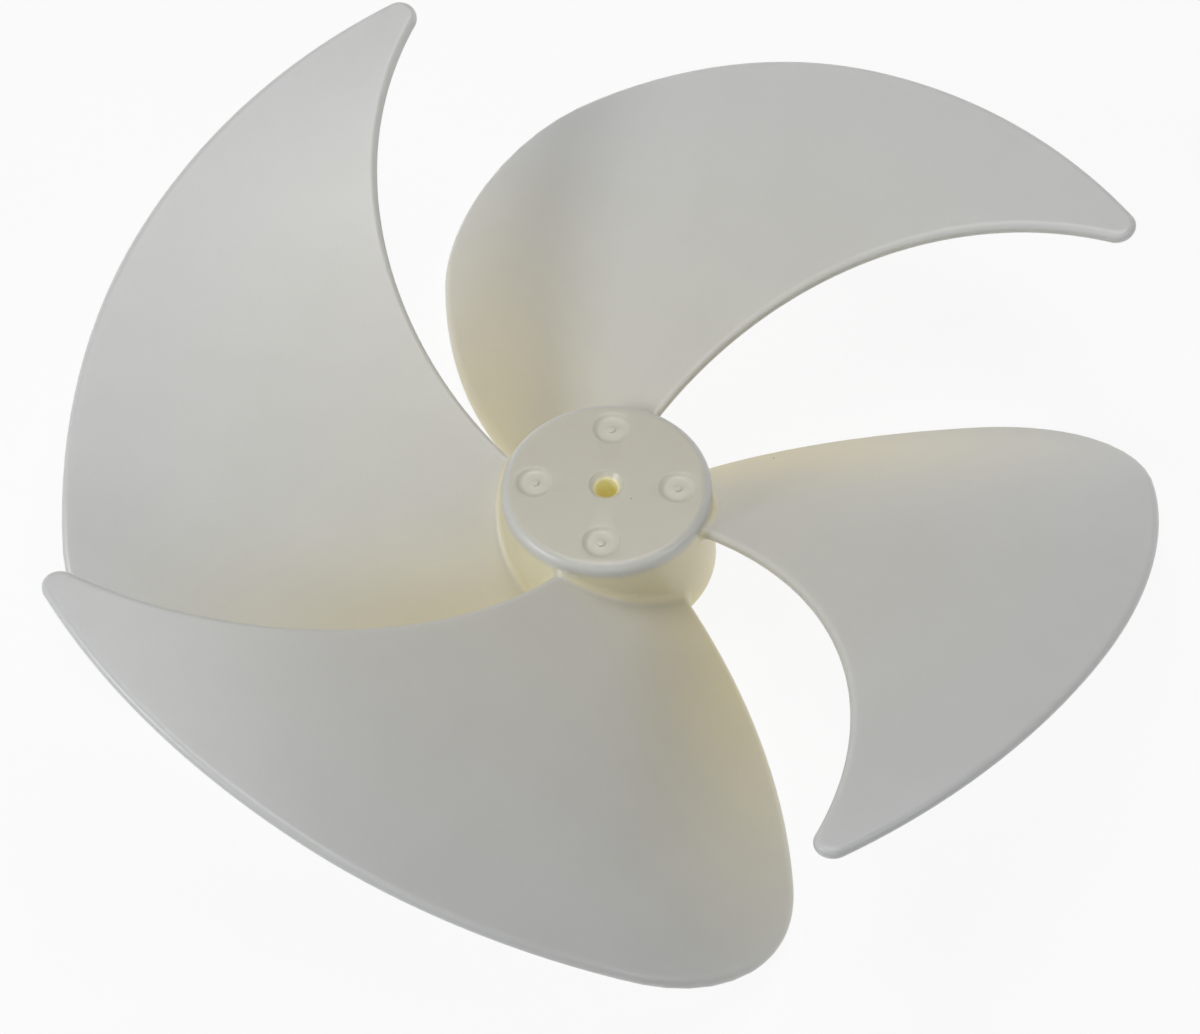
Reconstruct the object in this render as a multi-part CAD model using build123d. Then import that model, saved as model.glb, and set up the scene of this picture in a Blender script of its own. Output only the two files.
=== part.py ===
from build123d import *
from math import cos, hypot, radians, sin, sqrt, tan
import os

# Refrigerator fan blade: a hub cup and four forward-swept blades in one plastic moulding.
# Millimetres. The origin is on the bore's axis, at the open end of the boss that takes the shaft.
# +Z points out of the closed front of the hub, and +X runs along the first blade.

# Blade outline, seen from the front, for the blade that lies along +X
blade_count = 4
tip_radius = 76.2
corner_angle = -0.2
corner_radius = 22.4
trailing_arc_radius = 79.5
trailing_root_angle = 44.2
leading_arc_radius = 53.3
leading_root_angle = -28.2
horn_angle = -70.3
horn_flare = 3.6
horn_round = 2.55
horn_arc_radius = 98.8

# Blade section: a plate bent to one arc across the blade, with bevels of up to a share of its thickness
blade_thickness = 2.0
camber_radius = 220.5
blade_pitch = 29.1
blade_drop = 7.0
edge_bevel = 0.6
edge_bevel_share = 0.3

# Hub cup
hub_face_radius = 14.6
hub_draft = 1.3
hub_depth = 16.0
hub_wall = 2.2
face_thickness = 2.2
hub_rim_round = 1.1

# Shaft boss and the ribs that brace it
bore_diameter = 3.175
bore_chamfer = 0.85
boss_diameter = 8.0
boss_inset = 2.0
rib_count = 4
rib_thickness = 1.2
rib_inset = 6.0

# Gate dimples in the front face, each with the stub of its gate
dimple_count = 4
dimple_angle = -6.8
dimple_circle_diameter = 19.8
dimple_diameter = 4.8
dimple_depth = 0.5
dimple_edge_bevel = 0.2
gate_diameter = 1.1
gate_height = 0.35

# Heights that follow from the sizes above
face_z = hub_depth - boss_inset
rim_z = face_z - hub_depth
ceiling_z = face_z - face_thickness
hub_rim_radius = hub_face_radius + hub_depth * tan(radians(hub_draft))
root_radius = hub_face_radius - hub_wall / 2


def polar(radius, angle):
    """Point at a radius from the fan's axis, in a direction given in degrees."""
    return Vector(radius * cos(radians(angle)), radius * sin(radians(angle)))


def meet(center_a, radius_a, center_b, radius_b, side):
    """Where two circles cross, to the left (1) or right (-1) of the line from a to b."""
    line = center_b - center_a
    along = (radius_a**2 - radius_b**2 + line.length**2) / (2 * line.length)
    across = side * sqrt(radius_a**2 - along**2)
    forward = line.normalized()
    return center_a + forward * along + Vector(-forward.Y, forward.X) * across


def touch(center, radius, toward):
    """Point of a circle in the direction of another point."""
    return center + (toward - center).normalized() * radius


def arc(center, start, end):
    """Arc about a center, the short way round from start to end."""
    middle = touch(center, (start - center).length, (start + end) / 2)
    return ThreePointArc(start, middle, end)


def blade_outline():
    """Planform of one blade: arcs that run into each other from the hub, round the tip and back."""
    axis = Vector(0, 0)
    leading_root = polar(root_radius, leading_root_angle)
    trailing_root = polar(root_radius, trailing_root_angle)

    # The horn's round end stands a little outside the circle of the tips
    horn_center = polar(tip_radius + horn_flare - horn_round, horn_angle)
    leading_center = meet(
        leading_root, leading_arc_radius, horn_center, leading_arc_radius + horn_round, -1
    )
    horn_arc_center = meet(
        axis, horn_arc_radius - tip_radius, horn_center, horn_arc_radius - horn_round, -1
    )
    horn_inner = touch(leading_center, leading_arc_radius, horn_center)
    horn_outer = touch(horn_arc_center, horn_arc_radius, horn_center)
    tip_start = touch(horn_arc_center, horn_arc_radius, axis)

    # The round trailing corner runs off the tip circle and into the trailing edge
    corner_center = polar(tip_radius - corner_radius, corner_angle)
    trailing_center = meet(
        corner_center, trailing_arc_radius - corner_radius, trailing_root, trailing_arc_radius, 1
    )
    tip_end = polar(tip_radius, corner_angle)
    corner_end = touch(trailing_center, trailing_arc_radius, corner_center)

    return make_face(
        [
            arc(leading_center, leading_root, horn_inner),
            arc(horn_center, horn_inner, horn_outer),
            arc(horn_arc_center, horn_outer, tip_start),
            arc(axis, tip_start, tip_end),
            arc(corner_center, tip_end, corner_end),
            arc(trailing_center, corner_end, trailing_root),
            arc(axis, trailing_root, leading_root),
        ]
    )


def clear_of_root(edge):
    """True for an edge of the outline that isn't on the end buried in the hub's wall."""
    spot = edge.position_at(0.5)
    return hypot(spot.X, spot.Y) > root_radius + edge_bevel


def camber_height(across, lift):
    """Height of the bent plate at a distance across the blade, at a lift from its middle surface."""
    center_y = -camber_radius * sin(radians(blade_pitch))
    center_z = face_z - blade_drop - camber_radius * cos(radians(blade_pitch))
    return center_z + sqrt((camber_radius + lift) ** 2 - (across - center_y) ** 2)


def bent_plate(reach):
    """A plate bent to the camber arc across the blade, larger than the outline all round."""
    half = blade_thickness / 2
    upper = [(across, camber_height(across, half)) for across in (-reach, 0, reach)]
    lower = [(across, camber_height(across, -half)) for across in (reach, 0, -reach)]
    section = make_face(
        [
            ThreePointArc(*upper),
            Line(upper[-1], lower[0]),
            ThreePointArc(*lower),
            Line(lower[-1], upper[0]),
        ]
    )
    return extrude(Plane.YZ * section, amount=reach, both=True)


def make_blade():
    """One blade: its outline cut out of the bent plate, with its edges eased."""
    reach = tip_radius + horn_flare
    blade = extrude(blade_outline(), amount=reach, both=True) & bent_plate(reach)

    upper, lower = blade.faces().sort_by(SortBy.AREA)[-2:]
    outline_edges = [edge for edge in upper.edges() + lower.edges() if clear_of_root(edge)]
    return chamfer(outline_edges, min(edge_bevel, edge_bevel_share * blade_thickness))


def make_hub():
    """The hub: a cup with a drafted wall, a boss for the shaft and ribs across the hollow."""
    bore_radius = bore_diameter / 2
    boss_radius = boss_diameter / 2
    profile = Plane.XZ * make_face(
        Polyline(
            (bore_radius, face_z),
            (hub_face_radius, face_z),
            (hub_rim_radius, rim_z),
            (hub_rim_radius - hub_wall, rim_z),
            (hub_face_radius - hub_wall, ceiling_z),
            (boss_radius, ceiling_z),
            (boss_radius, 0),
            (bore_radius, 0),
            close=True,
        )
    )
    hub = revolve(profile, Axis.Z)

    circles = hub.edges().filter_by(GeomType.CIRCLE)
    face_rim = circles.filter_by_position(Axis.Z, face_z, face_z).sort_by(SortBy.RADIUS)[-1]
    hub = fillet(face_rim, hub_rim_round)
    circles = hub.edges().filter_by(GeomType.CIRCLE)
    bore_mouth = circles.filter_by_position(Axis.Z, face_z, face_z).sort_by(SortBy.RADIUS)[0]
    hub = chamfer(bore_mouth, bore_chamfer)

    # The ribs end inside the boss, the wall and the front, so that they join them all round
    rib_start = (bore_radius + boss_radius) / 2
    rib_foot = rim_z + rib_inset
    rib_height = ceiling_z + face_thickness / 2 - rib_foot
    rib_length = root_radius - rib_start
    rib = Box(rib_length, rib_thickness, rib_height, align=(Align.MIN, Align.CENTER, Align.MIN))
    rib = Pos(rib_start, 0, rib_foot) * rib
    between_dimples = dimple_angle + 180 / dimple_count
    hub += PolarLocations(0, rib_count, start_angle=between_dimples) * rib

    standing = (Align.CENTER, Align.CENTER, Align.MIN)
    dimple_floor = Pos(0, 0, face_z - dimple_depth)
    dimple_places = PolarLocations(dimple_circle_diameter / 2, dimple_count, start_angle=dimple_angle)
    dimple = dimple_floor * Cylinder(dimple_diameter / 2, dimple_depth, align=standing)
    hub -= dimple_places * dimple
    circles = hub.edges().filter_by(GeomType.CIRCLE).filter_by_position(Axis.Z, face_z, face_z)
    dimple_mouths = [edge for edge in circles if hypot(edge.arc_center.X, edge.arc_center.Y) > boss_radius]
    hub = chamfer(dimple_mouths, dimple_edge_bevel)
    gate = dimple_floor * Cylinder(gate_diameter / 2, gate_height, align=standing)
    return hub + dimple_places * gate


fan_blade = make_hub() + PolarLocations(0, blade_count) * make_blade()

os.makedirs("parts", exist_ok=True)
export_step(fan_blade, "parts/fan_blade.step")
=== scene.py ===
from math import atan2, cos, hypot, pi, radians, sin, sqrt, tan

import bmesh
import bpy
from mathutils import Matrix, Vector


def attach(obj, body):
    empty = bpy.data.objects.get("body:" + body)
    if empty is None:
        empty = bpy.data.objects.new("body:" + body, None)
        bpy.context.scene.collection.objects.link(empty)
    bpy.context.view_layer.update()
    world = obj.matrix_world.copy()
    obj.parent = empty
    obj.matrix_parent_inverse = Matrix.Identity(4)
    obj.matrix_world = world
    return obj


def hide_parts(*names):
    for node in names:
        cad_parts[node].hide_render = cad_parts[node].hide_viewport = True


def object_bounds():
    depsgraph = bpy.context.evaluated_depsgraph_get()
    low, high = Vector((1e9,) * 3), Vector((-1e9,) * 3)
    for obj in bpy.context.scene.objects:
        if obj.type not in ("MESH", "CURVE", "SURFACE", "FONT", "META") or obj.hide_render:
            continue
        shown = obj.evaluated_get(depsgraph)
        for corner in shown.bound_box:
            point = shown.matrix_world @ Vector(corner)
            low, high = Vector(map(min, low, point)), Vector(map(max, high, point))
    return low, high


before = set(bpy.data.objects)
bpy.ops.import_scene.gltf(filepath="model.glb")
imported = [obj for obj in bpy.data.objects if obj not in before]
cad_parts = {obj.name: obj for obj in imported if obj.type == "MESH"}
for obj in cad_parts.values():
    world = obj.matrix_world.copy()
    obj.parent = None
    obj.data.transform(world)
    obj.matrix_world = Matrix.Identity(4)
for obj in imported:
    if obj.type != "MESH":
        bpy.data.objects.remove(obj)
cad_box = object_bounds()
scene = bpy.context.scene
scene.view_settings.view_transform = "Standard"

# Blade: one of four alike, a 2 mm plate bent to one arc across the blade, with a horn swept
# forward at the tip and a round trailing corner. It is moulded in one shot with the hub, so its
# edges are full rounds and a soft fillet runs round its root.
mm = 0.001
tip_radius = 76.2 * mm
corner_angle = -0.2
corner_radius = 22.4 * mm
trailing_arc_radius = 79.5 * mm
trailing_root_angle = 44.2
leading_arc_radius = 53.3 * mm
leading_root_angle = -28.2
horn_angle = -70.3
horn_flare = 3.6 * mm
horn_round = 2.55 * mm
horn_arc_radius = 98.8 * mm
blade_thickness = 2.0 * mm
camber_radius = 220.5 * mm
blade_pitch = radians(29.1)
blade_drop = 7.0 * mm
root_fillet = 1.3 * mm
root_fillet_share = 0.995
root_radius = 13.5 * mm
face_z = 14.0 * mm
hub_face_radius = 14.6 * mm
hub_draft = radians(1.3)
camber_y = -camber_radius * sin(blade_pitch)
camber_z = face_z - blade_drop - camber_radius * cos(blade_pitch)


def polar(radius, angle):
    """Point at a radius from the fan's axis, in a direction given in degrees."""
    return Vector((radius * cos(radians(angle)), radius * sin(radians(angle))))


def meet(center_a, radius_a, center_b, radius_b, side):
    """Where two circles cross, to the left (1) or right (-1) of the line from a to b."""
    line = center_b - center_a
    along = (radius_a**2 - radius_b**2 + line.length_squared) / (2 * line.length)
    across = side * sqrt(radius_a**2 - along**2)
    forward = line.normalized()
    return center_a + forward * along + Vector((-forward.y, forward.x)) * across


def touch(center, radius, toward):
    """Point of a circle in the direction of another point."""
    return center + (toward - center).normalized() * radius


def arc(center, start, end):
    """Arc about a center, the short way from start to end: center, radius, first angle, turn."""
    first = start - center
    last = end - center
    turn = atan2(first.cross(last), first.dot(last))
    return center, first.length, atan2(first.y, first.x), turn


def arc_point(bow, share):
    """Point of an arc at a share of its length, and the direction to the left of its travel."""
    center, radius, angle, turn = bow
    out = polar(1, (angle + turn * share) * 180 / pi)
    return center + out * radius, out if turn < 0 else -out


def chain_point(bows, share):
    """The same for arcs that follow each other, at a share of their whole length."""
    lengths = [radius * abs(turn) for center, radius, angle, turn in bows]
    run = share * sum(lengths)
    for bow, length in zip(bows[:-1], lengths):
        if run <= length:
            return arc_point(bow, run / length)
        run -= length
    return arc_point(bows[-1], min(run / lengths[-1], 1))


def blade_sides():
    """Arcs of the leading edge, the outer edge and the trailing edge, on from each other."""
    axis = Vector((0, 0))
    leading_root = polar(root_radius, leading_root_angle)
    trailing_root = polar(root_radius, trailing_root_angle)
    horn_center = polar(tip_radius + horn_flare - horn_round, horn_angle)
    leading_center = meet(
        leading_root, leading_arc_radius, horn_center, leading_arc_radius + horn_round, -1
    )
    horn_arc_center = meet(
        axis, horn_arc_radius - tip_radius, horn_center, horn_arc_radius - horn_round, -1
    )
    horn_inner = touch(leading_center, leading_arc_radius, horn_center)
    horn_outer = touch(horn_arc_center, horn_arc_radius, horn_center)
    horn_tip = touch(horn_center, horn_round, (horn_inner + horn_outer) / 2)
    tip_start = touch(horn_arc_center, horn_arc_radius, axis)
    corner_center = polar(tip_radius - corner_radius, corner_angle)
    trailing_center = meet(
        corner_center, trailing_arc_radius - corner_radius, trailing_root, trailing_arc_radius, 1
    )
    tip_end = polar(tip_radius, corner_angle)
    corner_end = touch(trailing_center, trailing_arc_radius, corner_center)
    corner_middle = touch(corner_center, corner_radius, (tip_end + corner_end) / 2)
    leading = [arc(leading_center, leading_root, horn_inner), arc(horn_center, horn_inner, horn_tip)]
    outer = [
        arc(horn_center, horn_tip, horn_outer),
        arc(horn_arc_center, horn_outer, tip_start),
        arc(axis, tip_start, tip_end),
        arc(corner_center, tip_end, corner_middle),
    ]
    trailing = [
        arc(corner_center, corner_middle, corner_end),
        arc(trailing_center, corner_end, trailing_root),
    ]
    return leading, outer, trailing


def on_plate(spot, lift):
    """Point of the bent plate over a point of the planform, at a lift from its middle surface."""
    across = spot.y - camber_y
    return Vector((spot.x, spot.y, camber_z + sqrt((camber_radius + lift) ** 2 - across**2)))


def wall_radius(height):
    """Radius of the hub's drafted wall at a height."""
    return hub_face_radius + (face_z - height) * tan(hub_draft)


def fillet_out(point, outward):
    """A point near the root moved outwards, as far from the hub's wall, so that the plate flares."""
    clear = hypot(point.x, point.y) - wall_radius(point.z)
    reach = root_fillet_share * min(max(1 - clear / root_fillet, 0), 1)
    moved = point + outward.normalized() * root_fillet * (1 - sqrt(1 - reach**2))
    scale = (wall_radius(moved.z) + clear) / hypot(moved.x, moved.y)
    return Vector((moved.x * scale, moved.y * scale, moved.z))


def blade_mesh(rows=96, columns=60, rim_steps=12):
    """The blade along +X: a grid on each side of the plate, joined by the rounded rim."""
    leading, outer, trailing = blade_sides()
    half = blade_thickness / 2
    row_crowding, column_crowding = 0.85, 0.75
    rows_even = [i / rows for i in range(rows + 1)]
    columns_even = [j / columns for j in range(columns + 1)]
    spans = [share - row_crowding * sin(2 * pi * share) / (2 * pi) for share in rows_even]
    chords = [(1 - column_crowding) * share + column_crowding * share**2 for share in columns_even]
    edge = [chain_point(leading, share) for share in spans]
    edge += [chain_point(outer, share) for share in chords[1:]]
    edge += [chain_point(trailing, 1 - share) for share in reversed(spans[:-1])]
    model = bmesh.new()

    # Rim: half circles from the lower side to the upper, all round but at the root
    rim = []
    for spot, inward in edge:
        ring = []
        for step in range(rim_steps + 1):
            turn = pi * (step / rim_steps - 0.5)
            place = on_plate(spot + inward * half * (1 - cos(turn)), half * sin(turn))
            plate_normal = Vector((0, place.y - camber_y, place.z - camber_z)).normalized()
            outward = plate_normal * sin(turn) - inward.to_3d() * cos(turn)
            ring.append(model.verts.new(fillet_out(place, outward)))
        rim.append(ring)

    # Sides: a patch between the four inner edges of the rim, with its rows closer at the ends
    inset = [spot + inward * half for spot, inward in edge]
    first, last = inset[0], inset[-1]
    turn = atan2(first.cross(last), first.dot(last))
    sides = {}
    for side, rim_row in ((1, rim_steps), (-1, 0)):
        grid = {}
        for i, span in enumerate(spans):
            grid[i, 0] = rim[i][rim_row]
            grid[i, columns] = rim[2 * rows + columns - i][rim_row]
            for j, chord in list(enumerate(chords))[1:-1]:
                if i == rows:
                    grid[i, j] = rim[rows + j][rim_row]
                    continue
                start = atan2(first.y, first.x) + turn * chord
                root = Vector((cos(start), sin(start))) * (
                    (1 - chord) * first.length + chord * last.length
                )
                lead = inset[i]
                trail = inset[2 * rows + columns - i]
                tip = inset[rows + j]
                blend = (1 - chord) * lead + chord * trail + (1 - span) * root + span * tip
                blend -= (1 - span) * ((1 - chord) * first + chord * last)
                blend -= span * ((1 - chord) * inset[rows] + chord * inset[rows + columns])
                place = on_plate(blend, side * half)
                outward = Vector((0, place.y - camber_y, place.z - camber_z)) * side
                grid[i, j] = model.verts.new(fillet_out(place, outward))
        for i in range(rows):
            for j in range(columns):
                model.faces.new([grid[i, j], grid[i + 1, j], grid[i + 1, j + 1], grid[i, j + 1]])
        sides[side] = grid
    for ring, following in zip(rim, rim[1:]):
        for step in range(rim_steps):
            model.faces.new([ring[step], following[step], following[step + 1], ring[step + 1]])

    # Root end, buried in the hub's wall
    upper, lower = sides[1], sides[-1]
    for j in range(columns):
        model.faces.new([upper[0, j], upper[0, j + 1], lower[0, j + 1], lower[0, j]])
    model.faces.new(rim[0])
    model.faces.new(rim[-1])
    return model


def make_object(name, model):
    """A plain object from a closed mesh, with its faces turned outwards."""
    bmesh.ops.recalc_face_normals(model, faces=model.faces)
    mesh = bpy.data.meshes.new(name)
    model.to_mesh(mesh)
    model.free()
    piece = bpy.data.objects.new(name, mesh)
    scene.collection.objects.link(piece)
    return piece


blade = make_object("blade", blade_mesh())

# Hub: a plastic cup open to the back, with a drafted wall, a rounded rim at the closed front and a
# boss in the middle that is pressed on the motor's shaft.
hub_depth = 16.0 * mm
hub_wall = 2.2 * mm
face_thickness = 2.2 * mm
hub_rim_round = 1.4 * mm
bore_radius = 3.175 / 2 * mm
bore_chamfer = 0.85 * mm
boss_radius = 4.0 * mm
bore_edge = 0.2 * mm
soft_edge = 0.3 * mm
inner_fillet = 0.6 * mm
wall_ring_top = 2.0 * mm
wall_ring_step = 0.3 * mm
wall_ring_count = 44
rim_z = face_z - hub_depth
ceiling_z = face_z - face_thickness
hub_rim_radius = hub_face_radius + hub_depth * tan(hub_draft)


def rounded(corners, steps=6):
    """Closed outline through corners (radius, height, round), with each corner an arc."""
    outline = []
    for index, (across, up, rounding) in enumerate(corners):
        corner = Vector((across, up))
        if not rounding:
            outline.append(corner)
            continue
        before = (Vector(corners[index - 1][:2]) - corner).normalized()
        after = (Vector(corners[(index + 1) % len(corners)][:2]) - corner).normalized()
        half = before.angle(after) / 2
        center = corner + (before + after).normalized() * rounding / sin(half)
        bow = arc(center, corner + before * rounding / tan(half), corner + after * rounding / tan(half))
        outline += [arc_point(bow, step / steps)[0] for step in range(steps + 1)]
    return outline


def turned(outline, steps, center=0):
    """A closed outline of (radius, height) points turned about an upright axis at x = center."""
    model = bmesh.new()
    ring = [model.verts.new((center + spot.x, 0, spot.y)) for spot in outline]
    edges = [model.edges.new((ring[index - 1], ring[index])) for index in range(len(ring))]
    bmesh.ops.spin(
        model, geom=ring + edges, cent=(center, 0, 0), axis=(0, 0, 1), angle=2 * pi, steps=steps,
        use_merge=True,
    )
    bmesh.ops.remove_doubles(model, verts=model.verts, dist=0.0001 * mm)
    return model


wall_heights = [face_z - wall_ring_top - step * wall_ring_step for step in range(wall_ring_count)]
wall_rings = [(wall_radius(up), up, 0) for up in wall_heights]
hub_outline = rounded(
    [
        (bore_radius, face_z - bore_chamfer, bore_edge),
        (bore_radius + bore_chamfer, face_z, bore_edge),
        (hub_face_radius, face_z, hub_rim_round),
        *wall_rings,
        (hub_rim_radius, rim_z, soft_edge),
        (hub_rim_radius - hub_wall, rim_z, soft_edge),
        (hub_face_radius - hub_wall, ceiling_z, inner_fillet),
        (boss_radius, ceiling_z, inner_fillet),
        (boss_radius, 0, soft_edge),
        (bore_radius, 0, soft_edge),
    ]
)
hub = make_object("hub", turned(hub_outline, steps=192))

# Dimples: four shallow recesses in the hub's front where the plastic was let into the mould,
# each with the torn-off stub of its gate on the floor.
dimple_circle_radius = 9.9 * mm
dimple_floor_radius = 2.05 * mm
dimple_mouth_radius = 2.6 * mm
dimple_depth = 0.4 * mm
dimple_round = 1.0 * mm
dimple_overcut = 0.06 * mm
dimple_overcut_flare = 0.48 * mm
gate_radius = 0.55 * mm
gate_height = 0.3 * mm
gate_top_round = 0.15 * mm
gate_foot_round = 0.1 * mm
dimple_floor_z = face_z - dimple_depth
dimple_outline = rounded(
    [
        (0, dimple_floor_z + gate_height, 0),
        (gate_radius, dimple_floor_z + gate_height, gate_top_round),
        (gate_radius, dimple_floor_z, gate_foot_round),
        (dimple_floor_radius, dimple_floor_z, dimple_round),
        (dimple_mouth_radius, face_z, dimple_round),
        (dimple_mouth_radius + dimple_overcut_flare, face_z + dimple_overcut, 0),
        (0, face_z + dimple_overcut, 0),
    ]
)
dimple = make_object("dimple", turned(dimple_outline, steps=64, center=dimple_circle_radius))

# Ribs: four thin webs across the hollow of the hub that brace the boss against the wall. They are
# moulded with the hub, between the dimples, and their free edges are rounded.
rib_thickness = 1.2 * mm
rib_inset = 6.0 * mm
rib_edge = 0.3 * mm
rib_foot = rim_z + rib_inset
rib_start = (bore_radius + boss_radius) / 2
rib_model = bmesh.new()
bmesh.ops.create_cube(rib_model, size=1)
rib_size = Vector((root_radius - rib_start, rib_thickness, ceiling_z + face_thickness / 2 - rib_foot))
rib_low = Vector((rib_start, -rib_thickness / 2, rib_foot))
for corner in rib_model.verts:
    corner.co = rib_low + Vector([(share + 0.5) * side for share, side in zip(corner.co, rib_size)])
near = 0.001 * mm
foot_edges = [edge for edge in rib_model.edges if all(end.co.z < rib_foot + near for end in edge.verts)]
foot_edges = [edge for edge in foot_edges if abs(edge.verts[0].co.y - edge.verts[1].co.y) < near]
bmesh.ops.bevel(rib_model, geom=foot_edges, offset=rib_edge, segments=4, profile=0.5, affect="EDGES")
rib = make_object("rib", rib_model)

# Moulding: the hub, its four blades and its ribs are one shot of plastic, so the copies are set
# round the axis and joined into one skin, and the dimples are cut out of it.
blade_count = 4
dimple_count = 4
dimple_angle = radians(-6.8)


class Wire:
    """A socket of a node tree, with arithmetic that adds the nodes it stands for."""

    def __init__(self, tree, socket=None):
        self.tree = tree
        self.socket = socket

    def add(self, kind, settings=None, sockets=None, output=0):
        """A node of any kind: its settings first, then the values or links of its sockets."""
        node = self.tree.nodes.new(kind)
        for name, value in (settings or {}).items():
            setattr(node, name, value)
        for name, value in (sockets or {}).items():
            socket = next(s for s in node.inputs if s.enabled and name in (s.identifier, s.name))
            for part in value if isinstance(value, list) else [value]:
                if isinstance(part, Wire):
                    self.tree.links.new(part.socket, socket)
                else:
                    socket.default_value = part
        return Wire(self.tree, node.outputs[output] if node.outputs else None)

    def math(self, operation, left, right):
        return self.add("ShaderNodeMath", {"operation": operation}, {"Value": left, "Value_001": right})

    def __add__(self, other):
        return self.math("ADD", self, other)

    def __radd__(self, other):
        return self.math("ADD", other, self)

    def __sub__(self, other):
        return self.math("SUBTRACT", self, other)

    def __rsub__(self, other):
        return self.math("SUBTRACT", other, self)

    def __mul__(self, other):
        return self.math("MULTIPLY", self, other)

    def __rmul__(self, other):
        return self.math("MULTIPLY", other, self)

    def __truediv__(self, other):
        return self.math("DIVIDE", self, other)

    def __rtruediv__(self, other):
        return self.math("DIVIDE", other, self)


moulding_tree = bpy.data.node_groups.new("moulding", "GeometryNodeTree")
moulding_inputs = {}
for name, kind in (
    ("Hub", "NodeSocketGeometry"),
    ("Blade", "NodeSocketObject"),
    ("Blade Count", "NodeSocketInt"),
    ("Rib", "NodeSocketObject"),
    ("Dimple", "NodeSocketObject"),
    ("Dimple Count", "NodeSocketInt"),
    ("Dimple Angle", "NodeSocketFloat"),
    ("Plastic", "NodeSocketMaterial"),
):
    moulding_inputs[name] = moulding_tree.interface.new_socket(name, in_out="INPUT", socket_type=kind)
moulding_tree.interface.new_socket("Moulding", in_out="OUTPUT", socket_type="NodeSocketGeometry")
start = moulding_tree.nodes.new("NodeGroupInput")
given = {name: Wire(moulding_tree, start.outputs[name]) for name in moulding_inputs}


def ring_of(shape, count, angle):
    """Copies of a shape set evenly round the fan's axis, the first at an angle."""
    kit = Wire(moulding_tree)
    points = kit.add("GeometryNodePoints", sockets={"Count": count})
    order = kit.add("GeometryNodeInputIndex")
    turn = kit.add("ShaderNodeCombineXYZ", sockets={"Z": order / count * (2 * pi) + angle})
    shape = kit.add("GeometryNodeObjectInfo", sockets={"Object": shape}, output=4)
    copies = kit.add(
        "GeometryNodeInstanceOnPoints", sockets={"Points": points, "Instance": shape, "Rotation": turn}
    )
    return kit.add("GeometryNodeRealizeInstances", sockets={"Geometry": copies})


kit = Wire(moulding_tree)
blades = ring_of(given["Blade"], given["Blade Count"], 0)
half_step = pi / given["Dimple Count"]
ribs = ring_of(given["Rib"], given["Dimple Count"], given["Dimple Angle"] + half_step)
dimples = ring_of(given["Dimple"], given["Dimple Count"], given["Dimple Angle"])
joined = kit.add(
    "GeometryNodeMeshBoolean", {"operation": "UNION", "solver": "MANIFOLD"},
    {"Mesh 2": [given["Hub"], blades, ribs]},
)
cut = kit.add(
    "GeometryNodeMeshBoolean", {"operation": "DIFFERENCE", "solver": "MANIFOLD"},
    {"Mesh 1": joined, "Mesh 2": dimples},
)
cut = kit.add("GeometryNodeSetShadeSmooth", sockets={"Geometry": cut})
cut = kit.add("GeometryNodeRealizeInstances", sockets={"Geometry": cut})
cut = kit.add("GeometryNodeSetMaterial", sockets={"Geometry": cut, "Material": given["Plastic"]})
end = moulding_tree.nodes.new("NodeGroupOutput")
moulding_tree.links.new(cut.socket, end.inputs["Moulding"])

# Natural plastic: unpigmented polypropylene, milky and a little see-through, with a satin grain
# from the mould. Painted shade turns it ivory round the hub, the roots and the low trailing edges, and
# darker on the hub's face. Painted light makes the hub's wall warmer and brighter, the rim and the
# recesses paler, and the bore yellow and glowing. It has the faint clouds, ripples and dark specks of a
# moulding.
milk = (0.62, 0.622, 0.617, 1)
ivory = (0.70, 0.628, 0.40, 1)
wall_glow_ivory = (0.84, 0.76, 0.47, 1)
face_shade_ivory = (0.60, 0.572, 0.47, 1)
rim_highlight_white = (0.67, 0.68, 0.69, 1)
recess_light_pale = (0.72, 0.70, 0.60, 1)
bore_glow_yellow = (0.98, 0.92, 0.58, 1)
bore_glow = (0.05, 0.042, 0.014, 1)
cloud_grey = (0.50, 0.49, 0.45, 1)
speck_brown = (0.16, 0.13, 0.09, 1)
scatter_depth = 2.5 * mm
warm_shade_reach = 77 * mm
warm_shade_at_hub = (16 * mm, 13 * mm)
trailing_low = (11 * mm, -3 * mm)
trailing_reach = (78 * mm, 30 * mm)
wall_top = (12.8 * mm, 11 * mm)
wall_outside = (15.8 * mm, 15 * mm)
face_edge = (14.9 * mm, 13.8 * mm)
face_low = (12.4 * mm, 13.2 * mm)
rim_inside = (13.1 * mm, 14.1 * mm)
rim_outside = (15.4 * mm, 14.9 * mm)
rim_low = (12.2 * mm, 12.9 * mm)
recess_edge = (13.4 * mm, 12.8 * mm)
recess_top = (13.97 * mm, 13.8 * mm)
bore_side = (2.3 * mm, 1.5 * mm)
bore_top = (13.7 * mm, 13.1 * mm)
speck_side = (0.021, 0.012)
cloud_size = 9 * mm
ripple_size = 14 * mm
grain_size = 0.35 * mm
relief_depth = 0.1 * mm
specks_per_metre = 80
plastic = bpy.data.materials.new("milky_plastic")
plastic.use_nodes = True
plastic.cycles.emission_sampling = "NONE"
plastic.node_tree.nodes.clear()
look = Wire(plastic.node_tree)
spot = look.add("ShaderNodeTexCoord", output=3)
flat = look.add(
    "ShaderNodeVectorMath", {"operation": "MULTIPLY"}, {"Vector": spot, "Vector_001": (1, 1, 0)}
)
reach = look.add("ShaderNodeVectorMath", {"operation": "LENGTH"}, {"Vector": flat}, output=1)
height = look.add("ShaderNodeSeparateXYZ", sockets={"Vector": spot}, output=2)


def fade(value, low, high):
    """A mask that rises smoothly from 0 at low to 1 at high, or falls where low is the larger."""
    return look.add(
        "ShaderNodeMapRange", {"interpolation_type": "SMOOTHSTEP"},
        {"Value": value, "From Min": low, "From Max": high},
    )


def ramp(value, low, high):
    """The same mask with an even rise or fall."""
    return look.add("ShaderNodeMapRange", sockets={"Value": value, "From Min": low, "From Max": high})


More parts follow.
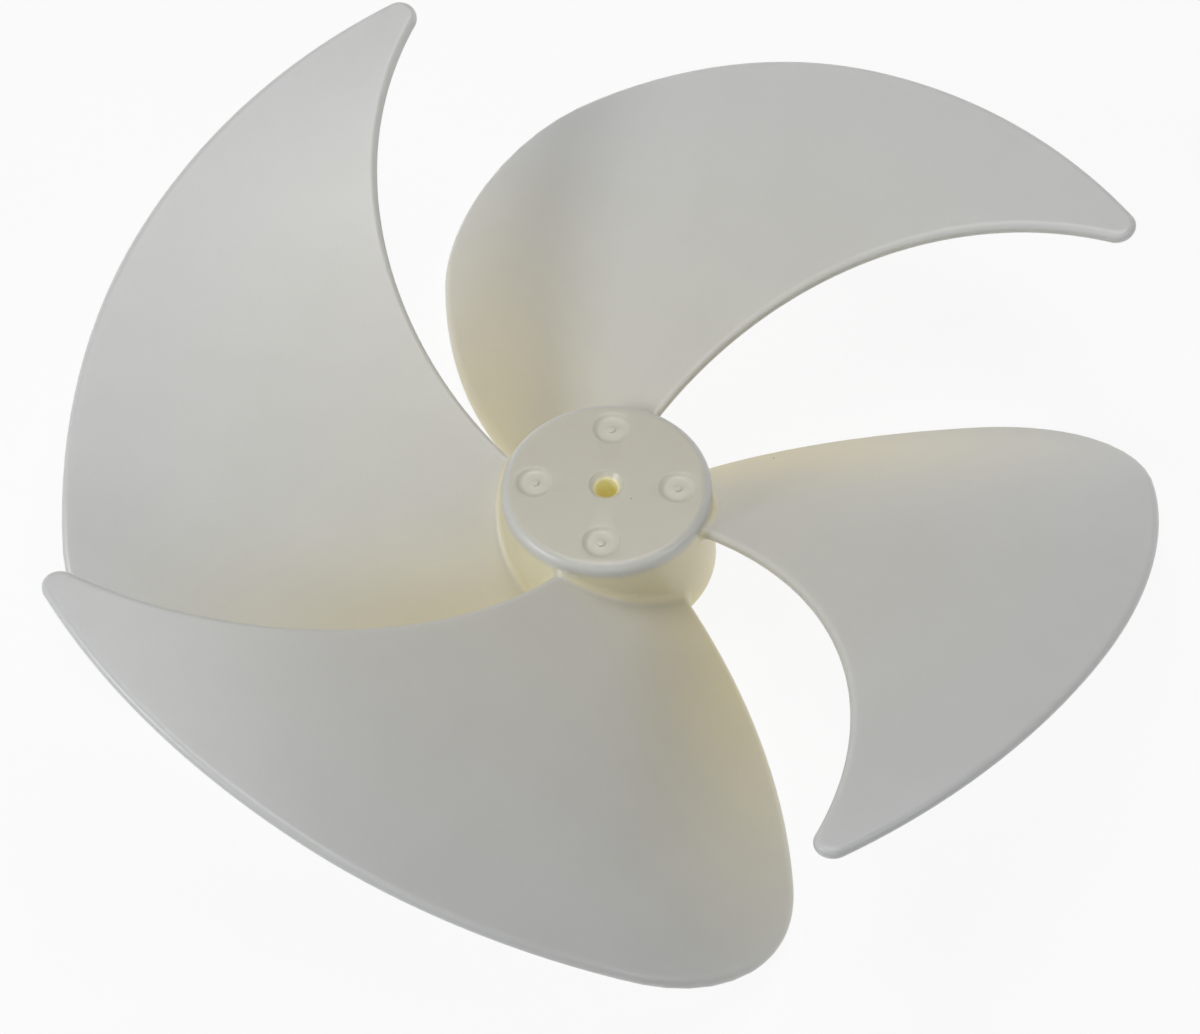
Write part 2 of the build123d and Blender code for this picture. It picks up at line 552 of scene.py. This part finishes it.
def tint(color, other, share):
    """One colour mixed into another by a mask."""
    return look.add(
        "ShaderNodeMix", {"data_type": "RGBA"}, {"Factor": share, "A": color, "B": other}, output=2
    )


def noise(size, detail):
    """Cloudy noise from 0 to 1 with features of about a size."""
    return look.add("ShaderNodeTexNoise", sockets={"Vector": spot, "Scale": 1 / size, "Detail": detail})


# Painted shade: ivory grows from the tips to the hub and down to the low trailing edges, standing for
# the warm shade of light trapped in the plastic near the hub and the table
warm_shade = 0.36 - reach * (0.35 / warm_shade_reach) + fade(reach, *warm_shade_at_hub) * 0.12
low_table_shade = fade(height, *trailing_low) * ramp(reach, *trailing_reach)
color = tint(milk, ivory, warm_shade + low_table_shade * 0.63)

# The hub's wall, face, rim, recesses and bore, with painted light and shade: the wall's warm glow, the
# face's shade, the highlights on the rim and in the recesses, and the bore's glow
# Painted light and shade: the wall's brighter, yellower tone stands for light carried through the
# plastic into the shaded wall
on_wall = fade(height, *wall_top) * fade(reach, *wall_outside)
color = tint(color, wall_glow_ivory, on_wall * 0.7)
# Painted shade: the hub's face is darker, where less light comes up through the closed hub
on_face = fade(reach, *face_edge) * fade(height, *face_low)
color = tint(color, face_shade_ivory, on_face)
# Painted highlight: the rim is paler and bluer, standing for the lamps' reflection on its round
rim_highlight_share = fade(reach, *rim_inside) * fade(height, *rim_low) * fade(reach, *rim_outside)
color = tint(color, rim_highlight_white, rim_highlight_share * 0.55)
# Painted light: the recesses are paler, standing for light falling on their far walls
recess_light_share = fade(reach, *recess_edge) * fade(height, *face_low) * fade(height, *recess_top)
color = tint(color, recess_light_pale, recess_light_share * 0.55)
# Painted light: the bore is yellow and glows a little, standing for light carried down the boss
in_bore = fade(reach, *bore_side) * fade(height, *bore_top)
color = tint(color, bore_glow_yellow, in_bore)

# Clouds, grain, specks and ripples
clouds = noise(cloud_size, 3)
color = tint(color, cloud_grey, (clouds - 0.35) * 0.25)
grain = noise(grain_size, 1)
color = tint(color, cloud_grey, (grain - 0.3) * 0.16)
speck = look.add("ShaderNodeTexVoronoi", sockets={"Vector": spot, "Scale": specks_per_metre})
color = tint(color, speck_brown, fade(speck, *speck_side))
ripple = noise(ripple_size, 1)
relief = grain * 0.02 + ripple * 1.5
bump = look.add("ShaderNodeBump", sockets={"Strength": 0.5, "Distance": relief_depth, "Height": relief})
surface = look.add(
    "ShaderNodeBsdfPrincipled",
    sockets={
        "Base Color": color,
        "Roughness": 0.3 + grain * 0.08,
        "IOR": 1.49,
        "Subsurface Weight": 0.4,
        "Subsurface Radius": (1.0, 1.0, 0.9),
        "Subsurface Scale": scatter_depth,
        "Specular IOR Level": 0.65,
        # Painted light: the bore's faint glow
        "Emission Color": tint((0, 0, 0, 1), bore_glow, in_bore),
        "Emission Strength": 1.0,
        "Normal": bump,
    },
)
look.add("ShaderNodeOutputMaterial", sockets={"Surface": surface})

# Finished fan: the tree is run on the hub, and its skin is kept as one plain mesh, which stands for
# the whole moulding.
moulding = hub.modifiers.new("moulding", "NODES")
moulding.node_group = moulding_tree
for name, value in (
    ("Blade", blade),
    ("Blade Count", blade_count),
    ("Rib", rib),
    ("Dimple", dimple),
    ("Dimple Count", dimple_count),
    ("Dimple Angle", dimple_angle),
    ("Plastic", plastic),
):
    moulding[moulding_inputs[name].identifier] = value
smoothing = hub.modifiers.new("smoothing", "WEIGHTED_NORMAL")
smoothing.weight = 90
smoothing.keep_sharp = True
evaluated = bpy.context.evaluated_depsgraph_get()
skin = bpy.data.meshes.new_from_object(hub.evaluated_get(evaluated), depsgraph=evaluated)
for shape in (hub, blade, rib, dimple):
    bpy.data.objects.remove(shape)
fan = bpy.data.objects.new("fan_moulding", skin)
scene.collection.objects.link(fan)
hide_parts("fan_blade")
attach(fan, "root")

# Floor: a plain white table that the blades' trailing edges rest on. It glows a little, more towards
# the back, so that light also comes up through the plastic. The camera sees it near white, with a
# soft shadow.
floor_reach = 3.0
floor_z = cad_box[0][2]
table_white = (0.9, 0.9, 0.9, 1)
front_glow = (0.12, 0.12, 0.12, 1)
back_glow = (1, 1, 1, 1)
glow_reach = 100 * mm
shadow_share = 0.1
floor_model = bmesh.new()
bmesh.ops.create_grid(floor_model, x_segments=1, y_segments=1, size=floor_reach)
bmesh.ops.translate(floor_model, verts=floor_model.verts, vec=(0, 0, floor_z))
floor = make_object("floor", floor_model)


def background_rays(kit):
    """1 for rays that show the background: from the camera, off gloss or through a clear body."""
    rays = kit.add("ShaderNodeLightPath").socket.node.outputs
    camera, gloss, clear = (
        Wire(kit.tree, rays[kind]) for kind in ("Is Camera Ray", "Is Glossy Ray", "Is Transmission Ray")
    )
    return kit.math("MINIMUM", camera + gloss + clear, 1)


paint = bpy.data.materials.new("table_white")
paint.use_nodes = True
paint.node_tree.nodes.clear()
table = Wire(paint.node_tree)
top = table.add("ShaderNodeBsdfDiffuse", sockets={"Color": table_white})
white = table.add("ShaderNodeEmission", sockets={"Strength": 1})
backdrop = table.add(
    "ShaderNodeMixShader", sockets={"Fac": shadow_share, "Shader": white, "Shader_001": top}
)
place = table.add("ShaderNodeTexCoord", output=3)
depth = table.add("ShaderNodeSeparateXYZ", sockets={"Vector": place}, output=1)
depth = table.add(
    "ShaderNodeMapRange", sockets={"Value": depth, "From Min": -glow_reach, "From Max": glow_reach}
)
glow = table.add(
    "ShaderNodeMix", {"data_type": "RGBA"}, {"Factor": depth, "A": front_glow, "B": back_glow}, output=2
)
glow = table.add("ShaderNodeEmission", sockets={"Color": glow})
lit = table.add("ShaderNodeAddShader", sockets={"Shader": top, "Shader_001": glow})
finish = table.add(
    "ShaderNodeMixShader",
    sockets={"Fac": background_rays(table), "Shader": lit, "Shader_001": backdrop},
)
table.add("ShaderNodeOutputMaterial", sockets={"Surface": finish})
floor.data.materials.append(paint)

# Light: a white room, with soft lamps over the fan, to its left and behind it, and weaker ones in
# front and on the right. Each lamp is a round panel that faces the hub.
room_light = 0.08
lamp_power = 10
world = bpy.data.worlds.new("studio")
scene.world = world
world.use_nodes = True
world.node_tree.nodes.clear()
room = Wire(world.node_tree)
strength = room_light + background_rays(room) * (1 - room_light)
glow = room.add("ShaderNodeBackground", sockets={"Color": (1, 1, 1, 1), "Strength": strength})
room.add("ShaderNodeOutputWorld", sockets={"Surface": glow})
daylight = (0.94, 0.97, 1.0)
bulb_light = (1.0, 1.0, 1.0)
for name, place, size, level, tone in (
    ("lamp_top", (0, 0, 0.6), 0.4, 0.22, bulb_light),
    ("lamp_left", (-0.55, -0.2, 0.32), 0.3, 0.33, daylight),
    ("lamp_right", (0.5, -0.3, 0.34), 0.24, 0.09, daylight),
    ("lamp_front", (0, -0.6, 0.45), 0.24, 0.06, daylight),
    ("lamp_behind", (0, 0.1, 0.3), 0.16, 0.19, bulb_light),
):
    place = Vector(place)
    panel = bpy.data.lights.new(name, "AREA")
    panel.shape = "DISK"
    panel.size = size
    panel.energy = lamp_power * level * place.length_squared
    panel.color = tone
    lamp = bpy.data.objects.new(name, panel)
    lamp.location = place
    lamp.rotation_euler = place.to_track_quat("Z", "Y").to_euler()
    scene.collection.objects.link(lamp)

# Camera: a long lens that looks down on the hub's front from over the table's edge, turned a little
# about its own axis.
view_elevation = radians(52.957)
view_roll = radians(3.178)
camera_place = Vector((-1.111, -411.207, 551.47)) * mm
sensor_width = 36
focal_length = 146.78
lens = bpy.data.cameras.new("camera")
lens.sensor_fit = "HORIZONTAL"
lens.sensor_width = sensor_width
lens.lens = focal_length
camera = bpy.data.objects.new("camera", lens)
camera.matrix_world = (
    Matrix.Translation(camera_place)
    @ Matrix.Rotation(pi / 2 - view_elevation, 4, "X")
    @ Matrix.Rotation(-view_roll, 4, "Z")
)
scene.collection.objects.link(camera)
scene.camera = camera
